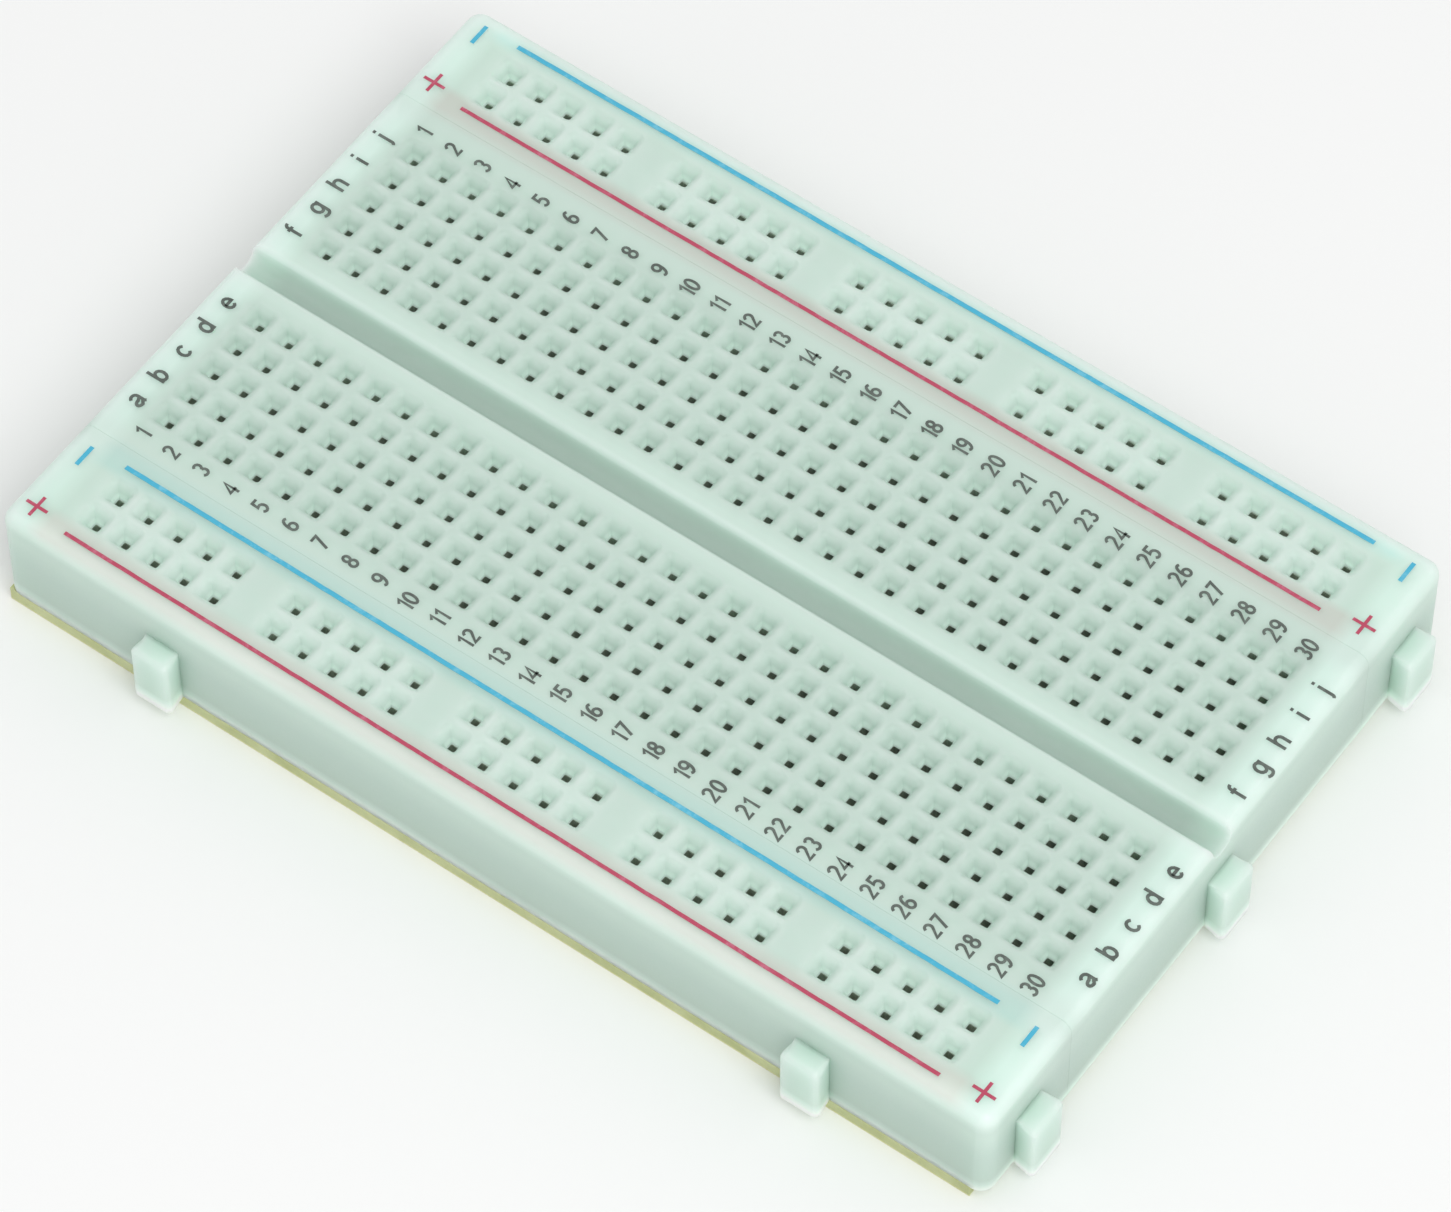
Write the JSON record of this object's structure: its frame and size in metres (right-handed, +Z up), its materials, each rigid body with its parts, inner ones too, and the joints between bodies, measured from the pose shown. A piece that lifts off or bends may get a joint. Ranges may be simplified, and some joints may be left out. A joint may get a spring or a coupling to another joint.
{
  "type": "solderless breadboard",
  "caption": "Half-size solderless breadboard: grooved terminal strip with spring contact clips, two dovetailed power rails and adhesive foam backing.",
  "frame": {"origin": "on the underside of the release liners, in the middle of the three housings' rectangle (tabs not counted)", "axes": "+X along the columns from 1 to 30, +Y from the front power rail across rows a to j to the back power rail, +Z up out of the tie points"},
  "size_m": [0.0841, 0.0562, 0.0104],
  "materials": {
    "housing_plastic": "satin moulded ABS, slightly translucent, mint white",
    "contact_metal": "nickel-plated phosphor bronze spring strip",
    "foam_tape": "closed-cell double-sided foam tape, fine pores on its cut edge",
    "release_paper": "waxed yellow release paper",
    "ink_dark": "pad-printed dark grey ink",
    "ink_red": "screen-printed red ink",
    "ink_blue": "screen-printed blue ink"
  },
  "bodies": {
    "terminal_strip": {"terminal_strip_housing": "housing_plastic", "terminal_clips_01": "contact_metal", "terminal_clips_02": "contact_metal", "terminal_clips_03": "contact_metal", "terminal_clips_04": "contact_metal", "terminal_clips_05": "contact_metal", "terminal_clips_06": "contact_metal", "terminal_clips_07": "contact_metal", "terminal_clips_08": "contact_metal", "terminal_clips_09": "contact_metal", "terminal_clips_10": "contact_metal", "terminal_clips_11": "contact_metal", "terminal_clips_12": "contact_metal", "terminal_clips_13": "contact_metal", "terminal_clips_14": "contact_metal", "terminal_clips_15": "contact_metal", "terminal_clips_16": "contact_metal", "terminal_clips_17": "contact_metal", "terminal_clips_18": "contact_metal", "terminal_clips_19": "contact_metal", "terminal_clips_20": "contact_metal", "terminal_clips_21": "contact_metal", "terminal_clips_22": "contact_metal", "terminal_clips_23": "contact_metal", "terminal_clips_24": "contact_metal", "terminal_clips_25": "contact_metal", "terminal_clips_26": "contact_metal", "terminal_clips_27": "contact_metal", "terminal_clips_28": "contact_metal", "terminal_clips_29": "contact_metal", "terminal_clips_30": "contact_metal", "terminal_strip_foam_pad": "foam_tape"},
    "front_rail": {"front_rail_housing": "housing_plastic", "front_rail_outer_bus_clip": "contact_metal", "front_rail_inner_bus_clip": "contact_metal", "front_rail_foam_pad": "foam_tape"},
    "back_rail": {"back_rail_housing": "housing_plastic", "back_rail_outer_bus_clip": "contact_metal", "back_rail_inner_bus_clip": "contact_metal", "back_rail_foam_pad": "foam_tape"},
    "terminal_strip_liner": {"terminal_strip_release_liner": "release_paper"},
    "front_rail_liner": {"front_rail_release_liner": "release_paper"},
    "back_rail_liner": {"back_rail_release_liner": "release_paper"}
  },
  "joints": [
    {"name": "front_rail_lift", "type": "slide", "parent": "terminal_strip", "child": "front_rail", "axis": [0, 0, 1], "range_m": [0, 0.012]},
    {"name": "back_rail_drop", "type": "slide", "parent": "terminal_strip", "child": "back_rail", "axis": [0, 0, -1], "range_m": [0, 0.012]},
    {"name": "terminal_strip_liner_peel", "type": "slide", "parent": "terminal_strip", "child": "terminal_strip_liner", "axis": [0, 0, -1], "range_m": [0, 0.006]},
    {"name": "front_rail_liner_peel", "type": "slide", "parent": "front_rail", "child": "front_rail_liner", "axis": [0, 0, -1], "range_m": [0, 0.006]},
    {"name": "back_rail_liner_peel", "type": "slide", "parent": "back_rail", "child": "back_rail_liner", "axis": [0, 0, -1], "range_m": [0, 0.006]}
  ]
}
